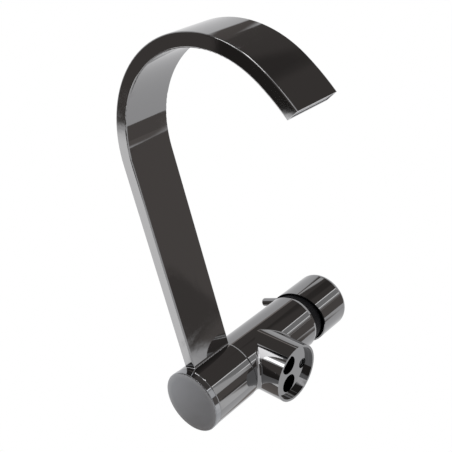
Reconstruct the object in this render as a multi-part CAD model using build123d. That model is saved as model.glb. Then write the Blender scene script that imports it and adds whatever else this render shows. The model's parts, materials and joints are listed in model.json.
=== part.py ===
from build123d import *
from math import cos, radians, sin, sqrt
import os

# A folding tap for a caravan sink: a barrel lies across a short upright leg, a flat arched
# spout folds about the barrel at one end, and a joystick knob closes the other end.
# Millimetres. The origin is the centre of the leg's seating face, +Z is up, +X runs along
# the barrel towards the knob, and -Y is the side on which the outlet stands.

overrun = 1.0  # how far a cutting tool passes the face it cuts
film = 0.02  # gap between faces that only bear on each other
fit = 0.05  # radial gap of a turning or sliding fit

# Barrel and leg
axis_height = 33.1  # seating face to barrel axis
shell_radius = 18.9
leg_radius = 18.7
junction_round = 2.0  # where the leg runs into the barrel
barrel_back = 20.8  # leg axis to the spout end of the barrel
barrel_front = 42.9  # leg axis to the knob end of the barrel
barrel_taper = 0.6  # off the radius at the knob end
barrel_taper_run = 2.0
recess_radius = 17.2
recess_depth = 3.0
inlet_radius = 6.0
inlet_depth = 15.0
inlet_spread = 6.9  # leg axis to each inlet, across the barrel
inlet_offset = 3.6  # inlets stand this far towards the spout
stud_radius = 3.4
stud_depth = 14.0
stud_offset = 10.4  # stud stands this far towards the knob
outlet_channel_radius = 2.4

# Cartridge seat in the barrel
chamber_floor = 18.0  # leg axis to the floor of the cartridge chamber
port_spread_share = 0.475  # these are shares of the housing's inside radius
port_drop_share = 0.36  # inlet ports below the axis
port_rise_share = 0.34  # outlet port above the axis
channel_share = 0.19
seal_ring_share = 0.265
seal_section_share = 0.075

# Cartridge
housing_radius = 12.5
housing_wall = 2.0
housing_length = 20.0
shoulder_thickness = 2.0
neck_radius = 9.0
neck_length = 13.0
rotor_neck_radius = 7.0
base_thickness = 2.7
base_lift = 0.3  # base plate stands clear of the chamber floor
disc_thickness = 2.5
disc_clearance = 0.1  # fixed disc and base plate inside the housing
disc_gap = 0.25  # moving disc to the housing's wall at the ends of its travel
mixing_share = 0.6  # mixing chamber's share of the moving disc's radius
mixing_depth = 1.2
carrier_thickness = 4.8
carrier_floor = 1.2
carrier_key_width_share = 0.7  # these two are shares of the housing's inside radius
carrier_key_length_share = 0.86
carrier_key_height = 2.2
carrier_gap = 0.4  # carrier to rotor
socket_radius = 2.5
rotor_ring_section = 0.45
rotor_ring_station = 2.45  # beyond the housing shoulder

# Stem, pivot and lever action
pivot_station = 44.0  # leg axis to the tilt pivot
pivot_pin_radius = 1.5
stem_width = 6.0
stem_depth = 5.0
stem_gap = 1.2  # stem to the inside of the knob's end wall
stem_ball_radius = 2.4
stem_ball_reach = 14.0  # pivot to the ball that drives the disc
stem_peg_radius = 1.4
stem_block_reach = 8.0  # pivot to the lower end of the square part
tilt_limit = 15.0  # degrees
lever_angle = 67.5  # degrees from +Y towards +Z
rotor_slot_length = 9.8
rotor_slot_margin = 0.1
rotor_top_reach = 6.5  # pivot to the rotor's outer end

# Nut and cover
nut_radius = 14.95
nut_protrusion = 1.1
nut_floor_gap = 0.3  # nut bears on the housing, clear of the barrel's counterbore floor
nut_notch_width = 3.0
nut_notch_depth = 1.6
nut_notches = 4
cover_radius = 18.0
cover_wall = 1.2
cover_lip = 1.5
cover_end = 8.0  # pivot to the cover's open end

# Knob
knob_radius = 19.3
knob_wall = 0.9
knob_end = 78.9  # leg axis to the knob's end face
knob_end_wall = 3.7
knob_round = 4.6
knob_rim_station = 48.7  # where the slanted rim crosses the axis
knob_rim_slant = 11.3  # degrees
knob_rim_low = -70.0  # degrees from +Y to the side where the rim stands furthest out
boss_radius = 10.0
boss_start = 58.0
insert_radius = 8.0
insert_start = 56.5
pin_radius = 3.0
pin_tip = 51.5  # axis to the lever pin's tip
pin_inset = 6.7  # lever pin to the knob's end face
pin_seat = 10.3  # axis to the shoulder of the lever pin
pin_thread_radius = 2.0
pin_thread_length = 2.2
pin_round = 1.2
grub_length = 4.5
grub_socket_radius = 1.0
grub_socket_depth = 2.0

# Collar, spindle and cap
collar_radius = 19.3
collar_length = 33.9
collar_bevel = 0.3
collar_taper = 0.35  # off the radius at the barrel end
collar_taper_run = 0.9
seam_gap = 0.2
journal_radius = 12.95
journal_length = 28.4
groove_start = 10.2  # from the barrel face to the water groove
groove_width = 8.0
groove_radius = 10.8
spigot_radius = 10.0
spigot_length = 11.0
spindle_bore_radius = 4.5
spindle_bore_end = 17.2  # from the barrel face to the blind end of the bore
spindle_ports = 4
spindle_port_radius = 2.2
o_ring_section = 0.9
o_ring_groove_radius = 11.1
o_ring_groove_width = 2.4
o_ring_near = 5.7  # from the barrel face to the first ring
o_ring_far = 23.7
spigot_ring_section = 0.7
spigot_ring_station = 8.5
thrust_outer = 16.6
thrust_thickness = 1.2
thrust_margin = 0.2
counterbore_radius = 16.0
friction_thickness = 1.1
washer_radius = 15.5
washer_thickness = 1.2
screw_radius = 3.0
screw_length = 8.0
screw_hole_spare = 1.0
screw_head_radius = 5.5
screw_head_height = 2.6
screw_hex = 2.0
screw_hex_depth = 1.5
cap_radius = 19.5
cap_thickness = 4.4
cap_round = 0.6
cap_bevel = 0.5
cap_spigot_length = 3.3
cap_spigot_wall = 3.9
cap_ring_section = 0.7
cap_ring_station = 1.7

# Spout
spout_angle = 163.0  # degrees from +Y towards +Z
spout_run = 144.8  # axis to the start of the arch
spout_offset = 4.35  # outer face to the axis
spout_thickness = 7.8
arch_radius = 64.2  # outer face
arch_turn = 142.0  # degrees
tip_radius = 133.0  # outer face of the flatter stretch at the outlet
tip_turn = 9.6  # degrees
band_inset = 2.5  # from the collar's cap end to the band
band_wall = 1.2
band_round = 0.8
slot_length = 12.0
outlet_depth = 6.0
outlet_sink = 0.6
outlet_slots = 9
outlet_slot_share = 0.68  # slot's share of its pitch
outlet_rib = 1.0  # solid band of the insert above and below its slots

BASE = (Align.CENTER, Align.CENTER, Align.MIN)

barrel_face = -barrel_back
collar_near = barrel_face - seam_gap
collar_far = collar_near - collar_length
cap_face = collar_far - cap_thickness
shoulder = chamber_floor + housing_length
rotor_floor = shoulder - shoulder_thickness
fixed_disc = chamber_floor + base_lift + base_thickness
moving_disc = fixed_disc + disc_thickness + film
carrier = moving_disc + disc_thickness
rotor_start = carrier + carrier_thickness + carrier_gap
disc_travel = stem_ball_reach * radians(tilt_limit)
chamber_radius = housing_radius + 2 * fit
inner_radius = housing_radius - housing_wall
stem_end = knob_end - knob_end_wall - stem_gap
pin_station = knob_end - pin_inset
port_spread = inner_radius * port_spread_share
port_drop = inner_radius * port_drop_share
port_rise = inner_radius * port_rise_share
channel_radius = inner_radius * channel_share
seal_ring_radius = inner_radius * seal_ring_share
seal_section = inner_radius * seal_section_share
moving_disc_radius = inner_radius - disc_travel / 2 - disc_gap
mixing_radius = moving_disc_radius * mixing_share
carrier_key_width = inner_radius * carrier_key_width_share
carrier_key_length = inner_radius * carrier_key_length_share
band_low = collar_far + band_inset
band_width = collar_near - band_low
arch_height = arch_radius - spout_offset
spindle_end = barrel_face - journal_length
counterbore_floor = spindle_end + friction_thickness + 2 * fit


def seat(shape):
    """Lifts a shape from the X axis to the barrel axis."""
    return Pos(0, 0, axis_height) * shape


def aim(shape):
    """Lifts a shape to the barrel axis and turns its +Z side to the lever's direction."""
    return Pos(0, 0, axis_height) * Rot(lever_angle - 90, 0, 0) * shape


def rod(radius, start, end):
    """Cylinder about the X axis."""
    return Pos(start, 0, 0) * Rot(0, 90, 0) * Cylinder(radius, end - start, align=BASE)


def tapered_rod(radius, start, end, drop, run):
    """Cylinder about the X axis that narrows a little towards its far end."""
    cone = Pos(end - run, 0, 0) * Rot(0, 90, 0) * Cone(radius, radius - drop, run, align=BASE)
    return rod(radius, start, end - run) + cone


def pipe(outer, inner, start, end):
    """Tube about the X axis."""
    return rod(outer, start, end) - rod(inner, start - overrun, end + overrun)


def o_ring(outer, section, station):
    """O-ring about the X axis with its outside at the given radius."""
    return Pos(station, 0, 0) * Rot(0, 90, 0) * Torus(outer - section, section)


def radial(radius, start, end, station):
    """Cylinder that stands out from the X axis along +Z."""
    return Pos(station, 0, start) * Cylinder(radius, end - start, align=BASE)


def end_edge(shape, last):
    """Circular edges at one end of a shape turned about X."""
    return shape.edges().filter_by(GeomType.CIRCLE).group_by(Axis.X)[-1 if last else 0]


def ports():
    """Places of the cold, hot and outlet ports about the barrel axis, as (y, z)."""
    return [(-port_spread, -port_drop), (port_spread, -port_drop), (0, port_rise)]


def valve_body():
    barrel = tapered_rod(shell_radius, barrel_face, barrel_front, barrel_taper, barrel_taper_run)
    shape = seat(barrel) + Cylinder(leg_radius, axis_height, align=BASE)
    meeting = shape.edges().filter_by(lambda edge: edge.geom_type not in (GeomType.CIRCLE, GeomType.LINE))
    shape = fillet(meeting, junction_round)
    shape -= Pos(0, 0, -overrun) * Cylinder(recess_radius, recess_depth + overrun, align=BASE)
    shape -= Pos(stud_offset, 0, recess_depth) * Cylinder(stud_radius, stud_depth, align=BASE)
    rise = axis_height - port_drop - recess_depth
    for side in (-1, 1):
        inlet = Cylinder(inlet_radius, inlet_depth, align=BASE)
        shape -= Pos(-inlet_offset, side * inlet_spread, recess_depth) * inlet
        riser = Cylinder(channel_radius, rise, align=BASE)
        shape -= Pos(-inlet_offset, side * port_spread, recess_depth) * riser
        feed = rod(channel_radius, -inlet_offset, chamber_floor + overrun)
        shape -= seat(Pos(0, side * port_spread, -port_drop) * feed)
    drain = rod(outlet_channel_radius, barrel_face, chamber_floor + overrun)
    shape -= seat(Pos(0, 0, port_rise) * drain)
    shape -= seat(rod(spigot_radius + fit, barrel_face - overrun, barrel_face + spigot_length))
    shape -= seat(rod(chamber_radius, chamber_floor, barrel_front + overrun))
    shape -= seat(rod(nut_radius + fit, shoulder - nut_floor_gap, barrel_front + overrun))
    return shape


def spout_spindle():
    shape = rod(journal_radius, spindle_end, barrel_face)
    shape += rod(spigot_radius, barrel_face, barrel_face + spigot_length - fit)
    groove = barrel_face - groove_start
    shape -= pipe(journal_radius + overrun, groove_radius, groove - groove_width, groove)
    for station in (barrel_face - o_ring_near, barrel_face - o_ring_far):
        half = o_ring_groove_width / 2
        shape -= pipe(journal_radius + overrun, o_ring_groove_radius, station - half, station + half)
    seal = barrel_face + spigot_ring_station
    bottom = spigot_radius - 2 * spigot_ring_section
    room = spigot_ring_section + fit
    shape -= pipe(spigot_radius + overrun, bottom, seal - room, seal + room)
    bore_end = barrel_face - spindle_bore_end
    shape -= rod(spindle_bore_radius, bore_end, barrel_face + spigot_length + overrun)
    hole = radial(spindle_port_radius, 0, journal_radius + overrun, groove - groove_width / 2)
    for turn in range(spindle_ports):
        shape -= Rot(turn * 360 / spindle_ports, 0, 0) * hole
    hole_end = spindle_end + screw_length + screw_hole_spare
    shape -= rod(screw_radius + fit, spindle_end - overrun, hole_end)
    return seat(shape)


def spindle_o_rings():
    outer = journal_radius - film
    near = o_ring(outer, o_ring_section, barrel_face - o_ring_near)
    far = o_ring(outer, o_ring_section, barrel_face - o_ring_far)
    return Compound(children=[seat(near), seat(far)])


def spindle_seal():
    return seat(o_ring(spigot_radius, spigot_ring_section, barrel_face + spigot_ring_station))


def thrust_ring():
    return seat(pipe(thrust_outer, journal_radius + fit, barrel_face - thrust_thickness, barrel_face))


def friction_ring():
    start = spindle_end + fit
    return seat(pipe(washer_radius, journal_radius + fit, start, start + friction_thickness))


def retaining_washer():
    return seat(pipe(washer_radius, screw_radius + fit, spindle_end - washer_thickness, spindle_end))


def retaining_screw():
    seat_face = spindle_end - washer_thickness
    head = rod(screw_head_radius, seat_face - screw_head_height, seat_face)
    head = chamfer(end_edge(head, False), screw_head_height / 4)
    shape = head + rod(screw_radius, seat_face, spindle_end + screw_length)
    hexagon = extrude(RegularPolygon(screw_hex, 6), amount=screw_hex_depth + overrun)
    shape -= Pos(seat_face - screw_head_height - overrun, 0, 0) * Rot(0, 90, 0) * hexagon
    return seat(shape)


def cartridge_housing():
    shape = pipe(housing_radius, inner_radius, chamber_floor, rotor_floor)
    shape += pipe(housing_radius, rotor_neck_radius + fit, rotor_floor, shoulder)
    shape += pipe(neck_radius, rotor_neck_radius + fit, shoulder, shoulder + neck_length)
    return seat(shape)


def cartridge_base():
    start = chamber_floor + base_lift
    shape = rod(inner_radius - disc_clearance, start, start + base_thickness)
    pocket = seal_ring_radius + seal_section + fit
    depth = 2 * seal_section - base_lift + fit
    for y, z in ports():
        shape -= Pos(0, y, z) * rod(channel_radius, start - overrun, start + base_thickness + overrun)
        shape -= Pos(0, y, z) * rod(pocket, start - overrun, start + depth)
    return seat(shape)


def base_seals():
    ring = o_ring(seal_ring_radius + seal_section, seal_section, chamber_floor + seal_section + film)
    return Compound(children=[seat(Pos(0, y, z) * ring) for y, z in ports()])


def fixed_ceramic_disc():
    shape = rod(inner_radius - disc_clearance, fixed_disc, fixed_disc + disc_thickness)
    for y, z in ports():
        end = fixed_disc + disc_thickness + overrun
        shape -= Pos(0, y, z) * rod(channel_radius, fixed_disc - overrun, end)
    return seat(shape)


def cartridge_nut():
    end = barrel_front + nut_protrusion
    shape = pipe(nut_radius, neck_radius + fit, shoulder, end)
    size = (2 * nut_notch_depth, nut_notch_width, 2 * nut_notch_depth)
    notch = Pos(end, 0, nut_radius) * Box(*size)
    for turn in range(nut_notches):
        shape -= Rot(turn * 360 / nut_notches, 0, 0) * notch
    return seat(shape)


def cover_ring():
    outer = cover_radius
    inner = cover_radius - cover_wall
    far = pivot_station + cover_end
    half = cover_end / 2
    lip = barrel_front + cover_lip
    edge = sqrt(inner ** 2 - (lip - pivot_station) ** 2)
    points = [(barrel_front, 0, outer), (pivot_station, 0, outer)]
    back = (pivot_station + half, 0, sqrt(outer ** 2 - half ** 2))
    top = (far, 0, sqrt(outer ** 2 - cover_end ** 2))
    low = (far, 0, sqrt(inner ** 2 - cover_end ** 2))
    under = (pivot_station + half, 0, sqrt(inner ** 2 - half ** 2))
    bore = nut_radius + fit
    outline = [
        Line(points[0], points[1]),
        ThreePointArc(points[1], back, top),
        Line(top, low),
        ThreePointArc(low, under, (lip, 0, edge)),
        Polyline((lip, 0, edge), (lip, 0, bore), (barrel_front, 0, bore), points[0]),
    ]
    return seat(revolve(make_face(Curve() + outline), Axis.X, 360))


def cartridge_rotor():
    top = pivot_station + rotor_top_reach
    shape = rod(inner_radius - disc_clearance, rotor_start, rotor_floor - fit)
    shape += rod(rotor_neck_radius, rotor_floor - fit, top)
    across = stem_width + 2 * rotor_slot_margin
    slot = Box(top - rotor_start + 2 * overrun, across, rotor_slot_length)
    shape -= Pos((top + rotor_start) / 2, 0, 0) * slot
    key_room = carrier_key_length + disc_travel + 2 * rotor_slot_margin + 4 * fit
    key_slot = Box(2 * (rotor_floor - fit - rotor_start), carrier_key_width + 4 * fit, key_room)
    shape -= Pos(rotor_start, 0, disc_travel / 2) * key_slot
    shape -= Pos(pivot_station, 0, 0) * Rot(90, 0, 0) * Cylinder(pivot_pin_radius + film, 2 * neck_radius)
    station = shoulder + rotor_ring_station
    room = rotor_ring_section + fit
    bottom = rotor_neck_radius - 2 * rotor_ring_section - film
    shape -= pipe(rotor_neck_radius + overrun, bottom, station - room, station + room)
    return aim(shape)


def rotor_o_ring():
    return aim(o_ring(rotor_neck_radius, rotor_ring_section, shoulder + rotor_ring_station))


def pivot_pin():
    length = 2 * (rotor_neck_radius - 4 * fit)
    return aim(Pos(pivot_station, 0, 0) * Rot(90, 0, 0) * Cylinder(pivot_pin_radius, length))


def moving_ceramic_disc():
    shape = rod(moving_disc_radius, moving_disc, moving_disc + disc_thickness)
    shape -= rod(mixing_radius, moving_disc - overrun, moving_disc + mixing_depth)
    return aim(Pos(0, 0, -disc_travel / 2) * shape)


def disc_carrier():
    top = carrier + carrier_thickness
    shape = Pos(0, 0, -disc_travel / 2) * rod(moving_disc_radius, carrier, top)
    key = Box(2 * carrier_key_height, carrier_key_width, carrier_key_length)
    shape += Pos(top, 0, 0) * key
    shape -= rod(socket_radius, carrier + carrier_floor, top + carrier_key_height + overrun)
    return aim(shape)


def cartridge_stem():
    low = pivot_station - stem_block_reach
    block = Box(stem_end - low, stem_width, stem_depth)
    shape = Pos((stem_end + low) / 2, 0, 0) * block
    ball = pivot_station - stem_ball_reach
    shape += rod(stem_peg_radius, ball, low + overrun)
    shape += Pos(ball, 0, 0) * Sphere(stem_ball_radius)
    shape -= Pos(pivot_station, 0, 0) * Rot(90, 0, 0) * Cylinder(pivot_pin_radius + fit, 2 * stem_width)
    return aim(shape)


def knob_insert():
    end = knob_end - knob_end_wall - fit
    shape = rod(insert_radius, insert_start, end)
    socket = Box(2 * (stem_end + fit - insert_start), stem_width + 2 * fit, stem_depth + 2 * fit)
    shape -= Pos(insert_start, 0, 0) * socket
    shape -= radial(pin_thread_radius + fit, 0, insert_radius + overrun, pin_station)
    return aim(shape)


def knob_rim_cutter():
    """Block that takes away all that lies on the barrel's side of the slanted rim."""
    size = 4 * knob_radius
    block = Pos(-size / 2, 0, 0) * Box(size, size, size)
    slant = Rot(knob_rim_low, 0, 0) * Rot(0, 0, -knob_rim_slant)
    return Pos(knob_rim_station, 0, 0) * slant * block


def knob_shell():
    start = barrel_front
    inside = knob_end - knob_end_wall
    shape = rod(knob_radius, start, knob_end)
    shape = fillet(end_edge(shape, True), knob_round)
    shape -= rod(knob_radius - knob_wall, start - overrun, inside)
    shape += pipe(boss_radius, insert_radius + fit, boss_start, inside)
    shape = seat(shape - knob_rim_cutter())
    shape -= aim(radial(pin_radius + fit, pin_seat, knob_radius + overrun, pin_station))
    return shape - aim(radial(pin_thread_radius + fit, insert_radius - overrun, pin_seat, pin_station))


def lever_pin():
    shape = radial(pin_radius, pin_seat, pin_tip, pin_station)
    tip = shape.edges().filter_by(GeomType.CIRCLE).group_by(Axis.Z)[-1]
    shape = fillet(tip, pin_round)
    shape += radial(pin_thread_radius, pin_seat - pin_thread_length, pin_seat, pin_station)
    return aim(shape)


def grub_screw():
    start = stem_depth / 2 + fit
    end = start + grub_length
    shape = radial(pin_thread_radius, start, end, pin_station)
    hexagon = extrude(RegularPolygon(grub_socket_radius, 6), amount=grub_socket_depth)
    shape -= Pos(pin_station, 0, end - grub_socket_depth) * hexagon
    return aim(shape)


def spout_plane(station):
    """Plane of the spout's outline: x along the run, y towards the arch's centre."""
    along = (0, cos(radians(spout_angle)), sin(radians(spout_angle)))
    return Plane(origin=(station, 0, axis_height), x_dir=along, z_dir=(1, 0, 0))


def outline_point(depth, turn):
    """Point in the spout's plane, below the outer face, after a turn in degrees."""
    angle = radians(min(turn, arch_turn))
    u = spout_run + (arch_radius - depth) * sin(angle)
    v = arch_height - (arch_radius - depth) * cos(angle)
    if turn > arch_turn:
        u += (tip_radius - depth) * (sin(radians(turn)) - sin(angle))
        v -= (tip_radius - depth) * (cos(radians(turn)) - cos(angle))
    return (u, v)


def arc_between(depth, first, last):
    """Arc along the outline from one turn to another."""
    middle = outline_point(depth, (first + last) / 2)
    return ThreePointArc(outline_point(depth, first), middle, outline_point(depth, last))


def spout_band(inset, start, end_turn):
    """Solid along the run, the arch and the tip, set in from the band's faces."""
    over = inset
    under = spout_thickness - inset
    first = (start, over - spout_offset)
    last = (start, under - spout_offset)
    outline = [
        Line(first, outline_point(over, 0)),
        arc_between(over, 0, arch_turn),
        arc_between(over, arch_turn, end_turn),
        Line(outline_point(over, end_turn), outline_point(under, end_turn)),
        arc_between(under, end_turn, arch_turn),
        arc_between(under, arch_turn, 0),
        Polyline(outline_point(under, 0), last, first),
    ]
    face = spout_plane(band_low + inset) * make_face(Curve() + outline)
    return extrude(face, amount=band_width - 2 * inset)


def long_edges(shape):
    """Edges that run along the band on its two sides."""
    sides = shape.edges().group_by(Axis.X)
    return [edge for edge in sides[0] + sides[-1] if edge.length > 2 * spout_thickness]


def spout_tube():
    start = collar_radius - spout_thickness
    shape = spout_band(0, start, arch_turn + tip_turn)
    shape = fillet(long_edges(shape), band_round)
    beyond = degrees_of(overrun)
    shape -= spout_band(band_wall, start - overrun, arch_turn + tip_turn + beyond)
    return shape - seat(rod(collar_radius + film, collar_far, collar_near + overrun))


def degrees_of(length):
    """Angle that a length spans on the tip's outer face."""
    return length / tip_radius / radians(1)


def outlet_insert():
    inset = band_wall + fit
    end = arch_turn + tip_turn - degrees_of(outlet_sink)
    begin = end - degrees_of(outlet_depth)
    shape = spout_band(inset, spout_run - overrun, end) - spout_band(0, 0, begin)
    width = band_width - 2 * inset
    pitch = width / outlet_slots
    height = spout_thickness - 2 * inset - 2 * outlet_rib
    tool = Box(4 * outlet_depth, height, pitch * outlet_slot_share)
    u, v = outline_point(spout_thickness / 2, (begin + end) / 2)
    for index in range(outlet_slots):
        station = band_low + inset + pitch * (index + 0.5)
        place = spout_plane(station) * Pos(u, v, 0) * Rot(0, 0, (begin + end) / 2)
        shape -= place * tool
    return shape


def spout_collar():
    shape = tapered_rod(collar_radius, collar_far, collar_near, collar_taper, collar_taper_run)
    shape = chamfer(end_edge(shape, False), collar_bevel)
    shape -= rod(journal_radius + fit, collar_far - overrun, collar_near + overrun)
    shape -= rod(counterbore_radius, collar_far - overrun, counterbore_floor)
    recess = barrel_face - thrust_thickness - fit
    shape -= rod(thrust_outer + thrust_margin, recess, collar_near + overrun)
    middle = barrel_face - groove_start - groove_width / 2
    slot = Box(2 * collar_radius, spout_thickness - 2 * band_wall, slot_length)
    lift = spout_offset - spout_thickness / 2
    cut = spout_plane(middle) * Pos(journal_radius + collar_radius, -lift, 0) * slot
    return seat(shape) - cut


def end_cap():
    disc = rod(cap_radius, cap_face, collar_far)
    disc = chamfer(end_edge(disc, True), cap_bevel)
    disc = fillet(end_edge(disc, False), cap_round)
    spigot = counterbore_radius - 2 * fit
    shape = disc + pipe(spigot, spigot - cap_spigot_wall, collar_far, collar_far + cap_spigot_length)
    station = collar_far + cap_ring_station
    room = cap_ring_section + fit
    shape -= pipe(spigot + overrun, spigot - 2 * cap_ring_section - film, station - room, station + room)
    return seat(shape)


def cap_o_ring():
    outer = counterbore_radius - 2 * fit
    return seat(o_ring(outer, cap_ring_section, collar_far + cap_ring_station))


SUB_PARTS = [
    valve_body,
    spout_spindle,
    spindle_o_rings,
    spindle_seal,
    thrust_ring,
    friction_ring,
    retaining_washer,
    retaining_screw,
    cartridge_housing,
    cartridge_base,
    base_seals,
    fixed_ceramic_disc,
    cartridge_nut,
    cover_ring,
    cartridge_rotor,
    rotor_o_ring,
    pivot_pin,
    moving_ceramic_disc,
    disc_carrier,
    cartridge_stem,
    knob_insert,
    knob_shell,
    lever_pin,
    grub_screw,
    spout_tube,
    outlet_insert,
    spout_collar,
    end_cap,
    cap_o_ring,
]

os.makedirs("parts", exist_ok=True)
for make in SUB_PARTS:
    export_step(make(), f"parts/{make.__name__}.step")
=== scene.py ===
"""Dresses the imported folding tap: finishes, small repeated details, studio and camera."""

import json
import logging
import math
from dataclasses import dataclass, field
from enum import Enum

import bmesh
import bpy
from mathutils import Matrix, Vector


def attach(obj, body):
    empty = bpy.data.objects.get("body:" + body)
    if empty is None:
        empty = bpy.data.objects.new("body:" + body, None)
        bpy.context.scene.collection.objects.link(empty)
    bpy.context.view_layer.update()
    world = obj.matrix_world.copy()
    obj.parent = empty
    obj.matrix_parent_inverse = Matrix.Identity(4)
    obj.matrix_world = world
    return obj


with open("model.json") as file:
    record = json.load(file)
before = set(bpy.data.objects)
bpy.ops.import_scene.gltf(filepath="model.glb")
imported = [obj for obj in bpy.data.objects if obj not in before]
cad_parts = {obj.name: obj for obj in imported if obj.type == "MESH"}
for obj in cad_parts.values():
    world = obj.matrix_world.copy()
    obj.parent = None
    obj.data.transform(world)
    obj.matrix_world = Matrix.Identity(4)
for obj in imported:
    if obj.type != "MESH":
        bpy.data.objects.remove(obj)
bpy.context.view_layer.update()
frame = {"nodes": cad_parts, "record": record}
LOG = logging.getLogger("folding_tap")
MM = 0.001

DIM_BELOW = 0.5
DIM_TINT = (1.09, 0.985, 0.93)

PATCH_RANGE = (0.48, 0.72)
SPECK_RANGE = (0.35, 0.65)
SPECK_FLOOR = 0.55
SPECKS_PER_PATCH = 9.0
NOISE_RANGE = (0.3, 0.7)
EDGE_TURNED, EDGE_FLAT = 0.82, 0.995
CHATTER_SCALE = 900.0

Colour = tuple[float, float, float]


class Metal(Enum):
    """Metals of the tap, as the colour that a polished face returns."""

    DARK_CHROME = (0.268, 0.267, 0.270)
    PALE_CHROME = (0.300, 0.306, 0.318)
    BRASS = (0.72, 0.53, 0.24)
    STEEL = (0.56, 0.56, 0.57)


class Body(Enum):
    """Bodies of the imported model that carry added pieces."""

    TAP = "tap_body"
    SPOUT = "spout"


class Sketch:
    """A node tree with short calls to add nodes and wire them."""

    def __init__(self, tree: bpy.types.NodeTree) -> None:
        """Takes the tree to draw in.

        Args:
            tree: A shader or geometry tree.
        """
        self.tree = tree

    def add(self, kind: str, sockets: dict | None = None, **settings: object) -> bpy.types.Node:
        """Adds a node, sets its options and then its inputs.

        Args:
            kind: The node's type name.
            sockets: Values or output sockets for its inputs, by name or place.
            settings: The node's options.

        Returns:
            The new node.
        """
        node = self.tree.nodes.new(kind)
        for name, value in settings.items():
            setattr(node, name, value)
        for name, value in (sockets or {}).items():
            self.feed(node.inputs[name], value)
        return node

    def feed(self, socket: bpy.types.NodeSocket, value: object) -> None:
        """Links an output socket to an input, or sets the input's own value.

        Args:
            socket: The input.
            value: An output socket, a number, a tuple or a material.
        """
        if isinstance(value, bpy.types.NodeSocket):
            self.tree.links.new(value, socket)
        else:
            socket.default_value = value

    def math(self, operation: str, *values: object) -> bpy.types.NodeSocket:
        """Adds a Math node and returns its result.

        Args:
            operation: The node's operation.
            values: Its inputs in order.

        Returns:
            The output socket.
        """
        return self.add("ShaderNodeMath", dict(enumerate(values)), operation=operation).outputs[0]

    def ramp(self, value: object, low: float, high: float, start: object, end: object) -> bpy.types.NodeSocket:
        """Maps a value from one range to another with soft ends.

        Args:
            value: The value to map.
            low: Value that gives start.
            high: Value that gives end.
            start: First result.
            end: Last result.

        Returns:
            The output socket.
        """
        ends = {"Value": value, "From Min": low, "From Max": high, "To Min": start, "To Max": end}
        return self.add("ShaderNodeMapRange", ends, interpolation_type="SMOOTHSTEP").outputs["Result"]

    def blend(self, share: object, first: object, second: object) -> bpy.types.NodeSocket:
        """Mixes two colours.

        Args:
            share: Share of the second colour.
            first: The colour at share 0.
            second: The colour at share 1.

        Returns:
            The output socket.
        """
        mixed = self.add("ShaderNodeMix", {"Factor": share}, data_type="RGBA")
        self.feed(mixed.inputs["A"], first)
        self.feed(mixed.inputs["B"], second)
        return next(socket for socket in mixed.outputs if socket.type == "RGBA")

    def group(self, tree: bpy.types.NodeTree, sockets: dict) -> bpy.types.Node:
        """Places a shared group.

        Args:
            tree: The group's tree.
            sockets: Its inputs by name.

        Returns:
            The group node.
        """
        node = self.tree.nodes.new(f"{self.tree.bl_idname.removesuffix('Tree')}Group")
        node.node_tree = tree
        for name, value in sockets.items():
            self.feed(node.inputs[name], value)
        return node


def new_group(name: str, inputs: dict[str, str], outputs: dict[str, str], kind: str = "ShaderNodeTree") -> Sketch:
    """Makes an empty group with named sockets.

    Args:
        name: The group's name.
        inputs: Socket type for each input name.
        outputs: Socket type for each output name.
        kind: Shader or geometry tree.

    Returns:
        A sketch on the new tree.
    """
    tree = bpy.data.node_groups.new(name, kind)
    for label, socket in inputs.items():
        tree.interface.new_socket(label, in_out="INPUT", socket_type=socket)
    for label, socket in outputs.items():
        tree.interface.new_socket(label, in_out="OUTPUT", socket_type=socket)
    return Sketch(tree)


FLOAT, VECTOR, COLOUR, GEOMETRY = (f"NodeSocket{kind}" for kind in ("Float", "Vector", "Color", "Geometry"))


def handling_marks() -> bpy.types.NodeTree:
    """Shared group: faint finger and water marks, as a mask and a roughness.

    Returns:
        The group's tree.
    """
    known = bpy.data.node_groups.get("handling_marks")
    if known:
        return known
    inputs = {"Vector": VECTOR, "Scale": FLOAT, "Clean": FLOAT, "Marked": FLOAT}
    sketch = new_group("handling_marks", inputs, {"Mask": FLOAT, "Roughness": FLOAT})
    source = sketch.add("NodeGroupInput").outputs
    broad = {"Vector": source["Vector"], "Scale": source["Scale"], "Detail": 4.0, "Roughness": 0.55, "Distortion": 0.6}
    patches = sketch.add("ShaderNodeTexNoise", broad).outputs["Fac"]
    fine_scale = sketch.math("MULTIPLY", source["Scale"], SPECKS_PER_PATCH)
    fine = {"Vector": source["Vector"], "Scale": fine_scale, "Detail": 6.0, "Roughness": 0.7}
    specks = sketch.add("ShaderNodeTexNoise", fine).outputs["Fac"]
    soft = sketch.ramp(patches, *PATCH_RANGE, 0.0, 1.0)
    broken = sketch.ramp(specks, *SPECK_RANGE, SPECK_FLOOR, 1.0)
    mask = sketch.math("MULTIPLY", soft, broken)
    result = sketch.add("NodeGroupOutput")
    rough = sketch.ramp(mask, 0.0, 1.0, source["Clean"], source["Marked"])
    sketch.feed(result.inputs["Mask"], mask)
    sketch.feed(result.inputs["Roughness"], rough)
    return sketch.tree


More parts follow.
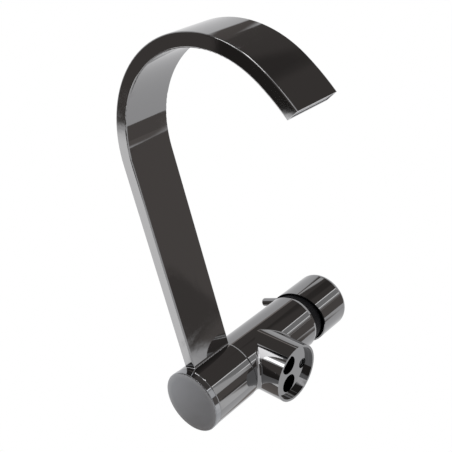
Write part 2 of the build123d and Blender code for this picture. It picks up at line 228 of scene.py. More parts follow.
def edge_wear_and_highlight() -> bpy.types.NodeTree:
    """Shared group: blends a surface colour to a paler one along convex edges, partly rubbed wear and partly a painted
    edge highlight.

    Returns:
        The group's tree.
    """
    known = bpy.data.node_groups.get("edge_wear_and_highlight")
    if known:
        return known
    inputs = {"Color": COLOUR, "Rubbed And Highlight": COLOUR, "Width": FLOAT, "Amount": FLOAT}
    sketch = new_group("edge_wear_and_highlight", inputs, {"Color": COLOUR, "Mask": FLOAT})
    source = sketch.add("NodeGroupInput").outputs
    rounded = sketch.add("ShaderNodeBevel", {"Radius": source["Width"]}, samples=4).outputs["Normal"]
    plain = sketch.add("ShaderNodeNewGeometry").outputs["Normal"]
    agreement = sketch.add("ShaderNodeVectorMath", {0: rounded, 1: plain}, operation="DOT_PRODUCT").outputs["Value"]
    edge = sketch.ramp(agreement, EDGE_TURNED, EDGE_FLAT, 1.0, 0.0)
    mask = sketch.math("MULTIPLY", edge, source["Amount"])
    result = sketch.add("NodeGroupOutput")
    sketch.feed(result.inputs["Color"], sketch.blend(mask, source["Color"], source["Rubbed And Highlight"]))
    sketch.feed(result.inputs["Mask"], mask)
    return sketch.tree


def surface_grain() -> bpy.types.NodeTree:
    """Shared group: fine isotropic grain, as a height in metres.

    Returns:
        The group's tree.
    """
    known = bpy.data.node_groups.get("surface_grain")
    if known:
        return known
    inputs = {"Vector": VECTOR, "Size": FLOAT, "Depth": FLOAT}
    sketch = new_group("surface_grain", inputs, {"Height": FLOAT, "Tone": FLOAT})
    source = sketch.add("NodeGroupInput").outputs
    scale = sketch.math("DIVIDE", 1.0, source["Size"])
    detail = {"Vector": source["Vector"], "Scale": scale, "Detail": 3.0, "Roughness": 0.6}
    noise = sketch.add("ShaderNodeTexNoise", detail).outputs["Fac"]
    result = sketch.add("NodeGroupOutput")
    sketch.feed(result.inputs["Height"], sketch.math("MULTIPLY", noise, source["Depth"]))
    sketch.feed(result.inputs["Tone"], noise)
    return sketch.tree


def turning_rings() -> bpy.types.NodeTree:
    """Shared group: tool rings round the barrel's axis, as a height in metres.

    Returns:
        The group's tree.
    """
    known = bpy.data.node_groups.get("turning_rings")
    if known:
        return known
    inputs = {"Vector": VECTOR, "Pitch": FLOAT, "Depth": FLOAT}
    sketch = new_group("turning_rings", inputs, {"Height": FLOAT, "Tone": FLOAT})
    source = sketch.add("NodeGroupInput").outputs
    parts = sketch.add("ShaderNodeSeparateXYZ", {"Vector": source["Vector"]}).outputs
    across = sketch.math("ADD", sketch.math("POWER", parts["Y"], 2.0), sketch.math("POWER", parts["Z"], 2.0))
    travel = sketch.math("ADD", sketch.math("SQRT", across), parts["X"])
    turns = sketch.math("DIVIDE", travel, source["Pitch"])
    wave = sketch.math("SINE", sketch.math("MULTIPLY", turns, math.tau))
    chatter = sketch.add("ShaderNodeTexNoise", {"Vector": source["Vector"], "Scale": CHATTER_SCALE, "Detail": 2.0})
    tone = sketch.math("MULTIPLY", wave, chatter.outputs["Fac"])
    result = sketch.add("NodeGroupOutput")
    sketch.feed(result.inputs["Height"], sketch.math("MULTIPLY", tone, source["Depth"]))
    sketch.feed(result.inputs["Tone"], sketch.ramp(tone, -1.0, 1.0, 0.0, 1.0))
    return sketch.tree


def start_material(name: str) -> tuple[Sketch, bpy.types.Node, bpy.types.NodeSocket]:
    """Makes a material with its own shader, ready to be wired.

    Args:
        name: The material's name.

    Returns:
        The sketch, the Principled node and the object coordinates.
    """
    material = bpy.data.materials.new(name)
    material.use_nodes = True
    sketch = Sketch(material.node_tree)
    shader = material.node_tree.nodes["Principled BSDF"]
    place = sketch.add("ShaderNodeTexCoord").outputs["Object"]
    return sketch, shader, place


def centred(sketch: Sketch, place: bpy.types.NodeSocket, axis_height: float) -> bpy.types.NodeSocket:
    """Moves object coordinates so that the barrel's axis is their X axis.

    Args:
        sketch: The material's sketch.
        place: Object coordinates.
        axis_height: Height of the barrel's axis.

    Returns:
        The moved coordinates.
    """
    return sketch.add("ShaderNodeMapping", {"Vector": place, "Location": (0.0, 0.0, -axis_height)}).outputs[0]


@dataclass(frozen=True)
class PolishedChrome:
    """Dark chrome, polished, with faint handling marks and brighter edges: partly rubbed wear, partly a painted edge
    highlight.
    """

    name: str = "polished_dark_chrome"
    metal: Metal = Metal.DARK_CHROME
    rubbed_and_highlight: Colour = (0.36, 0.36, 0.37)
    clean: float = 0.035
    marked: float = 0.085
    mark_scale: float = 42.0
    edge_width: float = 0.35 * MM
    edge_share: float = 0.8
    ripple_size: float = 14 * MM
    ripple_depth: float = 0.012 * MM

    def build(self) -> bpy.types.Material:
        """Makes the material.

        Returns:
            The material.
        """
        sketch, shader, place = start_material(self.name)
        marks = {"Vector": place, "Scale": self.mark_scale, "Clean": self.clean, "Marked": self.marked}
        handling_and_painted_shade = sketch.group(handling_marks(), marks)
        # Paler convex edges: partly rubbed wear, partly a painted edge highlight.
        edge_tones = {"Color": (*self.metal.value, 1.0), "Rubbed And Highlight": (*self.rubbed_and_highlight, 1.0), "Width": self.edge_width,
               "Amount": self.edge_share}
        edges = sketch.group(edge_wear_and_highlight(), edge_tones)
        ripple = {"Vector": place, "Size": self.ripple_size, "Depth": self.ripple_depth}
        height = sketch.group(surface_grain(), ripple).outputs["Height"]
        bump = sketch.add("ShaderNodeBump", {"Height": height, "Distance": 1.0, "Strength": 1.0})
        shader.inputs["Metallic"].default_value = 1.0
        sketch.feed(shader.inputs["Base Color"], edges.outputs["Color"])
        sketch.feed(shader.inputs["Roughness"], handling_and_painted_shade.outputs["Roughness"])
        sketch.feed(shader.inputs["Normal"], bump.outputs["Normal"])
        return bpy.data.materials[self.name]


@dataclass(frozen=True)
class CapChrome:
    """Chrome of the end cap: a slightly crowned satin face with painted shade darkening its middle, and a polished
    rim.
    """

    axis_height: float
    name: str = "satin_faced_chrome"
    metal: Metal = Metal.PALE_CHROME
    face_end: float = -58.95 * MM
    blend: float = 0.12 * MM
    polished: float = 0.05
    low: float = 0.29
    high: float = 0.33
    grain_size: float = 0.09 * MM
    grain_depth: float = 0.005 * MM
    cloud_size: float = 12 * MM
    crown: float = 0.7
    # Painted shade: a darker tone in the middle of the face, fading out between the two radii below.
    shaded_face_tone: Colour = (0.246, 0.252, 0.266)
    shade_fade_start: float = 15.0 * MM
    shade_fade_end: float = 19.2 * MM
    edge_width: float = 0.5 * MM

    def build(self) -> bpy.types.Material:
        """Makes the material.

        Returns:
            The material.
        """
        sketch, shader, place = start_material(self.name)
        parts = sketch.add("ShaderNodeSeparateXYZ", {"Vector": centred(sketch, place, self.axis_height)}).outputs
        face = sketch.ramp(parts["X"], self.face_end - self.blend, self.face_end + self.blend, 1.0, 0.0)
        clouds = sketch.group(surface_grain(), {"Vector": place, "Size": self.cloud_size, "Depth": 0.0})
        satin = sketch.ramp(clouds.outputs["Tone"], *NOISE_RANGE, self.low, self.high)
        rough = sketch.ramp(face, 0.0, 1.0, self.polished, satin)
        depth = sketch.math("MULTIPLY", face, self.grain_depth)
        fine = sketch.group(surface_grain(), {"Vector": place, "Size": self.grain_size, "Depth": depth})
        across = sketch.math("ADD", sketch.math("POWER", parts["Y"], 2.0), sketch.math("POWER", parts["Z"], 2.0))
        crown = sketch.math("MULTIPLY", sketch.math("MULTIPLY", across, -self.crown), face)
        height = sketch.math("ADD", crown, fine.outputs["Height"])
        bump = sketch.add("ShaderNodeBump", {"Height": height, "Distance": 1.0, "Strength": 1.0})
        # Painted shade: the face is darker in the middle and fades to the plain metal tone towards the rim.
        radius = sketch.math("SQRT", across)
        unshaded_share = sketch.ramp(radius, self.shade_fade_start, self.shade_fade_end, 0.0, 1.0)
        handling_and_painted_shade = sketch.blend(unshaded_share, (*self.shaded_face_tone, 1.0), (*self.metal.value, 1.0))
        tone = {"Color": handling_and_painted_shade, "Rubbed And Highlight": (*self.metal.value, 1.0), "Width": self.edge_width, "Amount": 1.0}
        edges = sketch.group(edge_wear_and_highlight(), tone)
        shader.inputs["Metallic"].default_value = 1.0
        sketch.feed(shader.inputs["Base Color"], edges.outputs["Color"])
        sketch.feed(shader.inputs["Roughness"], rough)
        sketch.feed(shader.inputs["Normal"], bump.outputs["Normal"])
        return bpy.data.materials[self.name]


@dataclass(frozen=True)
class TurnedMetal:
    """Bare metal off the lathe, with tool rings."""

    name: str
    metal: Metal
    axis_height: float
    pitch: float = 0.18 * MM
    depth: float = 0.004 * MM
    dull: float = 0.32
    bright: float = 0.18
    base_share: float = 0.7
    edge_width: float = 0.3 * MM

    def build(self) -> bpy.types.Material:
        """Makes the material.

        Returns:
            The material.
        """
        sketch, shader, place = start_material(self.name)
        local = centred(sketch, place, self.axis_height)
        rings = sketch.group(turning_rings(), {"Vector": local, "Pitch": self.pitch, "Depth": self.depth})
        darker = tuple(self.base_share * part for part in self.metal.value)
        # Full metal tone on convex edges over a darker face: partly rubbed wear, partly a painted edge highlight.
        edge_tones = {"Color": (*darker, 1.0), "Rubbed And Highlight": (*self.metal.value, 1.0), "Width": self.edge_width, "Amount": 1.0}
        edges = sketch.group(edge_wear_and_highlight(), edge_tones)
        bump = sketch.add("ShaderNodeBump", {"Height": rings.outputs["Height"], "Distance": 1.0, "Strength": 1.0})
        shader.inputs["Metallic"].default_value = 1.0
        sketch.feed(shader.inputs["Base Color"], edges.outputs["Color"])
        rough = sketch.ramp(rings.outputs["Tone"], 0.0, 1.0, self.bright, self.dull)
        sketch.feed(shader.inputs["Roughness"], rough)
        sketch.feed(shader.inputs["Normal"], bump.outputs["Normal"])
        return bpy.data.materials[self.name]


@dataclass(frozen=True)
class MouldedPlastic:
    """Moulded plastic, ceramic or rubber: a dielectric with a fine grain."""

    name: str
    colour: Colour
    pale: Colour
    low: float = 0.42
    high: float = 0.58
    grain_size: float = 0.14 * MM
    grain_depth: float = 0.012 * MM
    specular: float = 0.5
    edge_width: float = 0.3 * MM
    edge_share: float = 0.7

    def build(self) -> bpy.types.Material:
        """Makes the material.

        Returns:
            The material.
        """
        sketch, shader, place = start_material(self.name)
        grain = sketch.group(surface_grain(), {"Vector": place, "Size": self.grain_size, "Depth": self.grain_depth})
        # Paler convex edges: partly rubbed wear, partly a painted edge highlight.
        edge_tones = {"Color": (*self.colour, 1.0), "Rubbed And Highlight": (*self.pale, 1.0), "Width": self.edge_width,
               "Amount": self.edge_share}
        edges = sketch.group(edge_wear_and_highlight(), edge_tones)
        bump = sketch.add("ShaderNodeBump", {"Height": grain.outputs["Height"], "Distance": 1.0, "Strength": 1.0})
        shader.inputs["Specular IOR Level"].default_value = self.specular
        sketch.feed(shader.inputs["Base Color"], edges.outputs["Color"])
        rough = sketch.ramp(grain.outputs["Tone"], *NOISE_RANGE, self.low, self.high)
        sketch.feed(shader.inputs["Roughness"], rough)
        sketch.feed(shader.inputs["Normal"], bump.outputs["Normal"])
        return bpy.data.materials[self.name]


@dataclass
class Finishes:
    """All the finishes of the tap, made once, by the record's slot."""

    axis_height: float
    made: dict[str, bpy.types.Material] = field(default_factory=dict)

    def build(self) -> None:
        """Makes every finish."""
        finishes = {
            "dark_chrome": PolishedChrome(),
            "satin_chrome": CapChrome(self.axis_height),
            # The bead's pale steel finish is a painted highlight line along the band's foot.
            "bead": PolishedChrome("bead_painted_highlight", Metal.STEEL, (0.62, 0.62, 0.63), clean=0.26, marked=0.34),
            "brass": TurnedMetal("turned_brass", Metal.BRASS, self.axis_height),
            "steel": TurnedMetal("turned_steel", Metal.STEEL, self.axis_height, pitch=0.12 * MM),
            "black_plastic": MouldedPlastic("black_moulding", (0.008, 0.008, 0.010), (0.016, 0.016, 0.018), low=0.6,
                                            high=0.75, specular=0.2),
            "white_plastic": MouldedPlastic("white_moulding", (0.74, 0.74, 0.71), (0.82, 0.82, 0.8), low=0.32,
                                            high=0.44),
            "ceramic": MouldedPlastic("lapped_ceramic", (0.83, 0.81, 0.76), (0.9, 0.89, 0.86), low=0.1, high=0.2,
                                      grain_size=0.05 * MM, grain_depth=0.001 * MM),
            "rubber": MouldedPlastic("seal_rubber", (0.014, 0.014, 0.014), (0.022, 0.022, 0.022), low=0.55, high=0.72,
                                     grain_size=0.2 * MM, grain_depth=0.01 * MM, specular=0.35),
        }
        for slot, finish in finishes.items():
            self.made[slot] = finish.build()
            LOG.info("finish %s is %s", slot, self.made[slot].name)

    def dress(self, node: str) -> None:
        """Puts a CAD node's own finish in its material slots.

        Args:
            node: The node's name.
        """
        slots = {row["node"]: row["material_slot"] for row in frame["record"]["subparts"]}
        mesh = frame["nodes"][node].data
        mesh.materials.clear()
        mesh.materials.append(self.made[slots[node]])
        LOG.info("%s has finish %s", node, slots[node])


def settle(piece: bpy.types.Object, name: str, body: Body) -> bpy.types.Object:
    """Turns a piece with a live tree into a plain mesh that rides on a body.

    Args:
        piece: Object that carries the Geometry Nodes modifier.
        name: Name for the finished piece.
        body: Body that it rides on.

    Returns:
        The same object, now with a plain mesh and no modifier.
    """
    graph = bpy.context.evaluated_depsgraph_get()
    mesh = bpy.data.meshes.new_from_object(piece.evaluated_get(graph))
    piece.modifiers.clear()
    piece.data = mesh
    work = bmesh.new()
    work.from_mesh(mesh)
    bmesh.ops.recalc_face_normals(work, faces=work.faces)
    work.to_mesh(mesh)
    work.free()
    mesh.name = name
    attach(piece, body.value)
    LOG.info("%s has %d faces and rides on %s", name, len(mesh.polygons), body.value)
    return piece


def grown(name: str, tree: bpy.types.NodeTree, values: dict[str, object]) -> bpy.types.Object:
    """Makes an object that a geometry tree fills.

    Args:
        name: The object's name.
        tree: The tree.
        values: Values for the tree's inputs by name.

    Returns:
        The object with its modifier.
    """
    piece = bpy.data.objects.new(name, bpy.data.meshes.new(name))
    bpy.context.scene.collection.objects.link(piece)
    modifier = piece.modifiers.new("grown", "NODES")
    modifier.node_group = tree
    for item in tree.interface.items_tree:
        if item.item_type == "SOCKET" and item.in_out == "INPUT" and item.name in values:
            modifier[item.identifier] = values[item.name]
    return piece


@dataclass
class StudThread:
    """Thread in the hole for the fixing stud, cut as one helical ridge."""

    radius: float = 3.4 * MM
    pitch: float = 1.25 * MM
    ridge: float = 0.4 * MM
    start: float = 4.6 * MM
    depth: float = 12.0 * MM
    offset: float = 10.4 * MM
    steps_per_turn: int = 40

    def tree(self, finish: bpy.types.Material) -> bpy.types.NodeTree:
        """Draws the tree: a spiral, swept by a three-sided ridge.

        Args:
            finish: Material of the thread.

        Returns:
            The tree.
        """
        inputs = {"Radius": FLOAT, "Turns": FLOAT, "Height": FLOAT, "Ridge": FLOAT, "Place": VECTOR}
        sketch = new_group("stud_thread", inputs, {"Geometry": GEOMETRY}, "GeometryNodeTree")
        source = sketch.add("NodeGroupInput").outputs
        path = {
            "Resolution": self.steps_per_turn,
            "Rotations": source["Turns"],
            "Start Radius": source["Radius"],
            "End Radius": source["Radius"],
            "Height": source["Height"],
        }
        spiral = sketch.add("GeometryNodeCurveSpiral", path)
        profile = sketch.add("GeometryNodeCurvePrimitiveCircle", {"Resolution": 3, "Radius": source["Ridge"]})
        sweep = {"Curve": spiral.outputs[0], "Profile Curve": profile.outputs[0], "Fill Caps": True}
        ridge = sketch.add("GeometryNodeCurveToMesh", sweep)
        moved = sketch.add("GeometryNodeTransform", {"Geometry": ridge.outputs[0], "Translation": source["Place"]})
        real = sketch.add("GeometryNodeRealizeInstances", {"Geometry": moved.outputs[0]})
        shown = sketch.add("GeometryNodeSetMaterial", {"Geometry": real.outputs[0], "Material": finish})
        sketch.add("NodeGroupOutput", {"Geometry": shown.outputs[0]})
        return sketch.tree

    def build(self, finish: bpy.types.Material) -> bpy.types.Object:
        """Makes the thread.

        Args:
            finish: Material of the thread.

        Returns:
            The finished piece.
        """
        values = {
            "Radius": self.radius,
            "Turns": self.depth / self.pitch,
            "Height": self.depth,
            "Ridge": self.ridge,
            "Place": (self.offset, 0.0, self.start),
        }
        return settle(grown("stud_thread", self.tree(finish), values), "stud_thread", Body.TAP)


@dataclass
class SpoutLine:
    """The spout's outline in its own plane, repeated from the model's driving sizes."""

    axis_height: float = 33.1 * MM
    angle: float = math.radians(163.0)
    run: float = 144.8 * MM
    offset: float = 4.35 * MM
    thickness: float = 7.8 * MM
    arch_radius: float = 64.2 * MM
    arch_turn: float = math.radians(142.0)
    tip_radius: float = 133.0 * MM
    tip_turn: float = math.radians(9.6)
    low: float = -52.4 * MM
    high: float = -21.0 * MM

    def place(self, depth: float, turn: float, station: float) -> Vector:
        """Point below the outer face after a turn.

        Args:
            depth: Distance below the outer face.
            turn: Turn along the outline in radians.
            station: Place along the barrel.

        Returns:
            The point in the row frame.
        """
        first = min(turn, self.arch_turn)
        along = self.run + (self.arch_radius - depth) * math.sin(first)
        inward = self.arch_radius - self.offset - (self.arch_radius - depth) * math.cos(first)
        if turn > self.arch_turn:
            along += (self.tip_radius - depth) * (math.sin(turn) - math.sin(first))
            inward -= (self.tip_radius - depth) * (math.cos(turn) - math.cos(first))
        forward = Vector((0.0, math.cos(self.angle), math.sin(self.angle)))
        sideways = Vector((0.0, -math.sin(self.angle), math.cos(self.angle)))
        return Vector((station, 0.0, self.axis_height)) + along * forward + inward * sideways

    def heading(self, turn: float) -> Vector:
        """Direction of flow after a turn.

        Args:
            turn: Turn along the outline in radians.

        Returns:
            The unit direction.
        """
        angle = self.angle + turn
        return Vector((0.0, math.cos(angle), math.sin(angle)))


@dataclass
class OutletScreen:
    """Woven wire screen over the outlet's slots."""

    line: SpoutLine
    wall: float = 1.25 * MM
    sink: float = 0.45 * MM
    wire: float = 0.11 * MM
    pitch: float = 0.8 * MM

    def tree(self, finish: bpy.types.Material) -> bpy.types.NodeTree:
        """Draws the tree: two crossing rows of wires.

        Args:
            finish: Material of the wires.

        Returns:
            The tree.
        """
        inputs = {"Length": FLOAT, "Width": FLOAT, "Pitch": FLOAT, "Wire": FLOAT, "Place": VECTOR, "Turn": VECTOR}
        sketch = new_group("outlet_screen", inputs, {"Geometry": GEOMETRY}, "GeometryNodeTree")
        source = sketch.add("NodeGroupInput").outputs
        join = sketch.add("GeometryNodeJoinGeometry")
        rows = (("Length", "Width", 0, (math.pi / 2, 0.0, 0.0)), ("Width", "Length", 1, (0.0, math.pi / 2, 0.0)))
        for spread, reach, axis, turn in rows:
            count = sketch.math("FLOOR", sketch.math("DIVIDE", source[spread], source["Pitch"]))
            first = sketch.math("MULTIPLY", sketch.math("SUBTRACT", count, 1.0), source["Pitch"])
            start = sketch.add("ShaderNodeCombineXYZ", {axis: sketch.math("MULTIPLY", first, -0.5)})
            step = sketch.add("ShaderNodeCombineXYZ", {axis: source["Pitch"]})
            line = {"Count": count, "Start Location": start.outputs[0], "Offset": step.outputs[0]}
            points = sketch.add("GeometryNodeMeshLine", line)
            wire = {"Vertices": 6, "Radius": source["Wire"], "Depth": source[reach]}
            rod = sketch.add("GeometryNodeMeshCylinder", wire)
            placed = {"Points": points.outputs[0], "Instance": rod.outputs["Mesh"], "Rotation": turn}
            wires = sketch.add("GeometryNodeInstanceOnPoints", placed)
            sketch.tree.links.new(wires.outputs[0], join.inputs[0])
        moved = {"Geometry": join.outputs[0], "Translation": source["Place"], "Rotation": source["Turn"]}
        set_down = sketch.add("GeometryNodeTransform", moved)
        real = sketch.add("GeometryNodeRealizeInstances", {"Geometry": set_down.outputs[0]})
        shown = sketch.add("GeometryNodeSetMaterial", {"Geometry": real.outputs[0], "Material": finish})
        sketch.add("NodeGroupOutput", {"Geometry": shown.outputs[0]})
        return sketch.tree

    def build(self, finish: bpy.types.Material) -> bpy.types.Object:
        """Makes the screen.

        Args:
            finish: Material of the wires.

        Returns:
            The finished piece.
        """
        line = self.line
        end = line.arch_turn + line.tip_turn
        middle = line.place(line.thickness / 2, end, (line.low + line.high) / 2)
        heading = line.heading(end)
        values = {
            "Length": line.high - line.low - 2 * self.wall,
            "Width": line.thickness - 2 * self.wall,
            "Pitch": self.pitch,
            "Wire": self.wire,
            "Place": tuple(middle - self.sink * heading),
            "Turn": (math.atan2(heading.z, heading.y) - math.pi / 2, 0.0, 0.0),
        }
        return settle(grown("outlet_screen", self.tree(finish), values), "outlet_screen", Body.SPOUT)


@dataclass
class FootBead:
    """Polished bead where the band stands on the collar; its pale steel finish is a painted highlight line along the
    foot.
    """

    line: SpoutLine
    collar_radius: float = 19.3 * MM
    bead: float = 0.28 * MM
    corner: float = 0.9 * MM
    inset: float = 0.2 * MM
    points: int = 160

    def tree(self, finish: bpy.types.Material) -> bpy.types.NodeTree:
        """Draws the tree: the band's outline laid on the collar and swept by a circle.

        Args:
            finish: Material of the bead.

        Returns:
            The tree.
        """
        inputs = {"Width": FLOAT, "Height": FLOAT, "Corner": FLOAT, "Radius": FLOAT, "Bead": FLOAT, "Offset": VECTOR,
                  "Place": VECTOR, "Turn": VECTOR}
        sketch = new_group("foot_bead", inputs, {"Geometry": GEOMETRY}, "GeometryNodeTree")
        source = sketch.add("NodeGroupInput").outputs
        sides = {"Width": source["Width"], "Height": source["Height"]}
        outline = sketch.add("GeometryNodeCurvePrimitiveQuadrilateral", sides).outputs[0]
        corner = sketch.add("GeometryNodeFilletCurve", {"Curve": outline, "Radius": source["Corner"], "Count": 6},
                            mode="POLY").outputs[0]
        even = sketch.add("GeometryNodeResampleCurve", {"Curve": corner, "Count": self.points}).outputs[0]
        moved = sketch.add("GeometryNodeTransform", {"Geometry": even, "Translation": source["Offset"]}).outputs[0]
        here = sketch.add("ShaderNodeSeparateXYZ", {"Vector": sketch.add("GeometryNodeInputPosition").outputs[0]})
        reach = sketch.math("SUBTRACT", sketch.math("POWER", source["Radius"], 2.0),
                            sketch.math("POWER", here.outputs["Y"], 2.0))
        rise = {"X": here.outputs["X"], "Y": here.outputs["Y"], "Z": sketch.math("SQRT", reach)}
        laid_at = sketch.add("ShaderNodeCombineXYZ", rise).outputs[0]
        laid = sketch.add("GeometryNodeSetPosition", {"Geometry": moved, "Position": laid_at}).outputs[0]
        circle = sketch.add("GeometryNodeCurvePrimitiveCircle", {"Resolution": 10, "Radius": source["Bead"]})
        swept = sketch.add("GeometryNodeCurveToMesh", {"Curve": laid, "Profile Curve": circle.outputs[0]}).outputs[0]
        smooth = sketch.add("GeometryNodeSetShadeSmooth", {"Geometry": swept}).outputs[0]
        frame_move = {"Geometry": smooth, "Translation": source["Place"], "Rotation": source["Turn"]}
        stood = sketch.add("GeometryNodeTransform", frame_move).outputs[0]
        real = sketch.add("GeometryNodeRealizeInstances", {"Geometry": stood})
        shown = sketch.add("GeometryNodeSetMaterial", {"Geometry": real.outputs[0], "Material": finish})
        sketch.add("NodeGroupOutput", {"Geometry": shown.outputs[0]})
        return sketch.tree

    def build(self, finish: bpy.types.Material) -> bpy.types.Object:
        """Makes the bead.

        Args:
            finish: Material of the bead.

        Returns:
            The finished piece.
        """
        line = self.line
        values = {
            "Width": line.high - line.low - self.inset,
            "Height": line.thickness,
            "Corner": self.corner,
            "Radius": self.collar_radius,
            "Bead": self.bead,
            "Offset": ((line.high + line.low - self.inset) / 2, line.offset - line.thickness / 2, 0.0),
            "Place": (0.0, 0.0, line.axis_height),
            "Turn": (line.angle - math.pi / 2, 0.0, 0.0),
        }
        return settle(grown("foot_bead", self.tree(finish), values), "foot_bead", Body.SPOUT)


@dataclass
class Valve:
    """Barrel and leg, the spindle with its seals, and the thread for the stud."""

    finishes: Finishes
    nodes: tuple[str, ...] = (
        "valve_body", "spout_spindle", "spindle_o_rings", "spindle_seal", "thrust_ring", "friction_ring",
        "retaining_washer", "retaining_screw", "cover_ring", "cartridge_nut",
    )
    thread: StudThread = field(default_factory=StudThread)

    def build(self) -> None:
        """Dresses the nodes and cuts the thread."""
        for node in self.nodes:
            self.finishes.dress(node)
        self.thread.build(self.finishes.made["dark_chrome"])


@dataclass
class Cartridge:
    """The joystick cartridge, from its base to its stem."""

    finishes: Finishes
    nodes: tuple[str, ...] = (
        "cartridge_housing", "cartridge_base", "base_seals", "fixed_ceramic_disc", "moving_ceramic_disc",
        "disc_carrier", "cartridge_rotor", "rotor_o_ring", "pivot_pin", "cartridge_stem",
    )

    def build(self) -> None:
        """Dresses the nodes."""
        for node in self.nodes:
            self.finishes.dress(node)


@dataclass
class Spout:
    """The folding spout with its collar, cap and outlet."""

    finishes: Finishes
    line: SpoutLine = field(default_factory=SpoutLine)
    nodes: tuple[str, ...] = ("spout_tube", "outlet_insert", "spout_collar", "end_cap", "cap_o_ring")

    def build(self) -> None:
        """Dresses the nodes, weaves the outlet's screen and lays the bead."""
        for node in self.nodes:
            self.finishes.dress(node)
        OutletScreen(self.line).build(self.finishes.made["steel"])
        FootBead(self.line).build(self.finishes.made["bead"])


@dataclass
class Knob:
    """The tilting knob with its pin lever."""

    finishes: Finishes
    nodes: tuple[str, ...] = ("knob_insert", "knob_shell", "lever_pin", "grub_screw")

    def build(self) -> None:
        """Dresses the nodes."""
        for node in self.nodes:
            self.finishes.dress(node)


@dataclass(frozen=True)
class Card:
    """A flat card of the studio, far away, as the tap's surfaces see it."""

    name: str
    azimuth: float
    elevation: float
    half_width: float
    half_height: float
    softness: float
    level: float
    roll: float = 0.0

    def axes(self) -> tuple[Vector, Vector, Vector]:
        """Gives the card's own directions.

        Returns:
            Its centre, across and upward unit directions.
        """
        turn, lift, roll = (math.radians(angle) for angle in (self.azimuth, self.elevation, self.roll))
        centre = Vector((math.cos(lift) * math.cos(turn), math.cos(lift) * math.sin(turn), math.sin(lift)))
        level = Vector((-math.sin(turn), math.cos(turn), 0.0))
        upright = centre.cross(level)
        across = math.cos(roll) * level + math.sin(roll) * upright
        return centre, across, centre.cross(across)

    def colour(self) -> tuple[float, float, float, float]:
        """Gives the card's light, with the warmth of a dim room where it is dark.

        Returns:
            Red, green, blue and one.
        """
        tint = DIM_TINT if self.level < DIM_BELOW else (1.0, 1.0, 1.0)
        return (*(self.level * part for part in tint), 1.0)


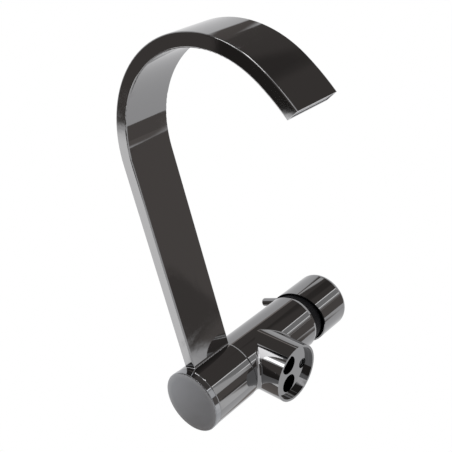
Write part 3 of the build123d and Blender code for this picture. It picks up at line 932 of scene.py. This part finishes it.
@dataclass
class Studio:
    """White surroundings with dark and bright cards, a pale floor and the camera."""

    lens: float = 65.76
    sensor: float = 36.0
    eye: Colour = (-0.32690, -0.32382, -0.23065)
    rightward: Colour = (0.64132, 0.03151, -0.76662)
    upward: Colour = (0.3879, -0.87538, 0.28851)
    floor_height: float = -0.10
    floor_side: float = 6.0
    floor_tone: Colour = (0.86, 0.86, 0.85)
    floor_roughness: float = 0.8
    near_limit: float = 0.01
    backdrop: Colour = (1.0, 1.0, 1.0)
    surroundings: Colour = (0.88, 0.88, 0.89)
    cards: tuple[Card, ...] = (
        Card("floor_shade", -0.20, -48.00, 34.60, 12.30, 0.80, 0.18, 77.0),
        Card("dark_room", -63.50, 1.00, 34.20, 34.50, 1.40, 0.11, -8.0),
        Card("dark_doorway", 191.40, 15.70, 28.70, 45.90, 1.20, 0.12, 10.0),
        Card("key_panel", 130.50, 35.50, 14.50, 21.90, 1.50, 1.63, 8.0),
        Card("window_pane", -131.50, 26.80, 6.00, 12.20, 1.60, 4.60, 12.0),
        Card("window_side", -101.30, 19.40, 1.10, 7.60, 1.00, 0.70, -8.0),
        Card("low_recess", -32.10, -37.70, 14.00, 12.50, 1.30, 0.25, 44.0),
        Card("low_window", -38.50, -31.10, 9.00, 1.30, 0.70, 2.20, 33.0),
        Card("low_sill", -26.70, -41.40, 12.00, 3.30, 1.50, 0.66, 53.0),
        Card("doorway_edge", 148.30, 33.00, 26.90, 4.50, 0.80, 0.04, 14.0),
        Card("floor_shade_end", 29.10, -43.30, 8.30, 3.30, 2.30, 0.23, 53.0),
        Card("high_window", -118.30, -0.10, 24.80, 3.60, 2.00, 5.63, 8.0),
        Card("lamp_arm", -30.50, 31.70, 2.30, 6.30, 2.00, 0.15, -57.0),
        Card("dark_panel", -44.00, -1.20, 5.50, 9.10, 4.20, 0.07, 25.0),
        Card("wall_shade", -41.13, 30.10, 1.76, 7.07, 0.74, 0.43, 20.0),
        Card("low_pane_frame", -47.46, -42.19, 16.93, 8.79, 0.60, 2.00, 33.0),
        Card("low_pane", -47.46, -42.19, 15.93, 6.79, 0.40, 0.50, 33.0),
        Card("crossing_bar", -45.95, -40.14, 18.04, 2.39, 1.04, 0.97, -43.0),
        Card("pane_reveal", -137.45, 27.22, 2.13, 1.64, 0.42, 0.92, 70.0),
        Card("key_shade", 117.11, 29.69, 7.78, 23.55, 0.92, 0.25, -109.0),
        Card("low_glint", -113.25, -26.39, 0.67, 12.93, 0.74, 3.70, -88.0),
        Card("wall_light", -40.14, 22.27, 5.36, 1.41, 0.79, 0.92, -100.0),
        Card("side_shade", 53.40, -5.65, 1.59, 9.02, 0.87, 0.36, -16.0),
        Card("floor_patch", 13.85, -53.16, 1.98, 2.43, 0.69, 0.12, -54.0),
        Card("arch_shade", 31.66, -41.73, 6.47, 2.01, 0.40, 0.18, 45.0),
        Card("floor_strip", 22.37, -53.53, 25.00, 1.36, 1.50, 1.17, -141.0),
        Card("floor_corner", -77.55, -56.01, 14.03, 13.87, 1.50, 0.23, 225.0),
        Card("window_lintel", -125.66, 38.85, 17.60, 9.02, 1.02, 0.15, 167.0),
        Card("tip_light", 152.13, 30.50, 4.02, 2.17, 0.40, 1.76, 97.0),
    )

    def card_tree(self) -> bpy.types.NodeTree:
        """Draws the group that lays one card over what is behind it.

        Returns:
            The group's tree.
        """
        inputs = {"Direction": VECTOR, "Centre": VECTOR, "Across": VECTOR, "Upward": VECTOR, "Half Width": FLOAT,
                  "Half Height": FLOAT, "Softness": FLOAT, "Level": COLOUR, "Behind": COLOUR}
        sketch = new_group("studio_card", inputs, {"Color": COLOUR})
        source = sketch.add("NodeGroupInput").outputs
        found = {}
        for axis in ("Centre", "Across", "Upward"):
            pair = {0: source["Direction"], 1: source[axis]}
            found[axis] = sketch.add("ShaderNodeVectorMath", pair, operation="DOT_PRODUCT").outputs["Value"]
        mask = sketch.math("GREATER_THAN", found["Centre"], 0.0)
        for axis, half in (("Across", "Half Width"), ("Upward", "Half Height")):
            angle = sketch.math("ABSOLUTE", sketch.math("ARCTAN2", found[axis], found["Centre"]))
            inside = sketch.math("SUBTRACT", source[half], angle)
            share = sketch.math("DIVIDE", inside, source["Softness"])
            mask = sketch.math("MULTIPLY", mask, sketch.ramp(share, -0.5, 0.5, 0.0, 1.0))
        sketch.add("NodeGroupOutput", {"Color": sketch.blend(mask, source["Behind"], source["Level"])})
        return sketch.tree

    def light(self) -> None:
        """Makes the surroundings, which the camera itself sees as plain white."""
        world = bpy.data.worlds.new("studio")
        world.use_nodes = True
        bpy.context.scene.world = world
        sketch = Sketch(world.node_tree)
        world.node_tree.nodes.clear()
        direction = sketch.add("ShaderNodeTexCoord").outputs["Generated"]
        card_tree = self.card_tree()
        seen: object = (*self.surroundings, 1.0)
        for card in self.cards:
            centre, across, upward = card.axes()
            values = {
                "Direction": direction, "Centre": centre, "Across": across, "Upward": upward,
                "Half Width": math.radians(card.half_width), "Half Height": math.radians(card.half_height),
                "Softness": math.radians(card.softness), "Level": card.colour(), "Behind": seen,
            }
            seen = sketch.group(card_tree, values).outputs["Color"]
            LOG.info("studio card %s is laid", card.name)
        cards = sketch.add("ShaderNodeBackground", {"Color": seen, "Strength": 1.0})
        plain = sketch.add("ShaderNodeBackground", {"Color": (*self.backdrop, 1.0), "Strength": 1.0})
        path = sketch.add("ShaderNodeLightPath").outputs["Is Camera Ray"]
        mixed = sketch.add("ShaderNodeMixShader", {0: path, 1: cards.outputs[0], 2: plain.outputs[0]})
        sketch.add("ShaderNodeOutputWorld", {"Surface": mixed.outputs[0]})

    def floor(self) -> None:
        """Lays a pale floor that can be seen through from below."""
        half = self.floor_side / 2
        corners = [(-half, -half), (half, -half), (half, half), (-half, half)]
        mesh = bpy.data.meshes.new("floor")
        mesh.from_pydata([(x, y, self.floor_height) for x, y in corners], [], [(0, 1, 2, 3)])
        floor = bpy.data.objects.new("floor", mesh)
        bpy.context.scene.collection.objects.link(floor)
        material = bpy.data.materials.new("pale_floor")
        material.use_nodes = True
        sketch = Sketch(material.node_tree)
        shader = material.node_tree.nodes["Principled BSDF"]
        shader.inputs["Base Color"].default_value = (*self.floor_tone, 1.0)
        shader.inputs["Roughness"].default_value = self.floor_roughness
        clear = sketch.add("ShaderNodeBsdfTransparent")
        below = sketch.add("ShaderNodeNewGeometry").outputs["Backfacing"]
        mixed = sketch.add("ShaderNodeMixShader", {0: below, 1: shader.outputs[0], 2: clear.outputs[0]})
        sketch.feed(material.node_tree.nodes["Material Output"].inputs["Surface"], mixed.outputs[0])
        mesh.materials.append(material)
        floor.visible_glossy = False

    def camera(self) -> None:
        """Stands the camera below the tap, rolled as it was for the picture."""
        data = bpy.data.cameras.new("camera")
        data.lens = self.lens
        data.sensor_width = self.sensor
        data.clip_start = self.near_limit
        camera = bpy.data.objects.new("camera", data)
        bpy.context.scene.collection.objects.link(camera)
        right = Vector(self.rightward).normalized()
        up = Vector(self.upward).normalized()
        turn = Matrix((right, up, right.cross(up))).transposed()
        camera.matrix_world = Matrix.Translation(self.eye) @ turn.to_4x4()
        bpy.context.scene.camera = camera

    def build(self) -> None:
        """Makes the camera, the light and the floor."""
        self.camera()
        self.light()
        self.floor()
        bpy.context.scene.view_settings.view_transform = "Standard"


def main() -> None:
    """Dresses the tap and sets up the studio."""
    logging.basicConfig(level=logging.INFO, format="%(message)s")
    Studio().build()
    line = SpoutLine()
    finishes = Finishes(line.axis_height)
    finishes.build()
    for assembly in (Valve(finishes), Cartridge(finishes), Spout(finishes, line), Knob(finishes)):
        assembly.build()


if __name__ == "__main__":
    main()
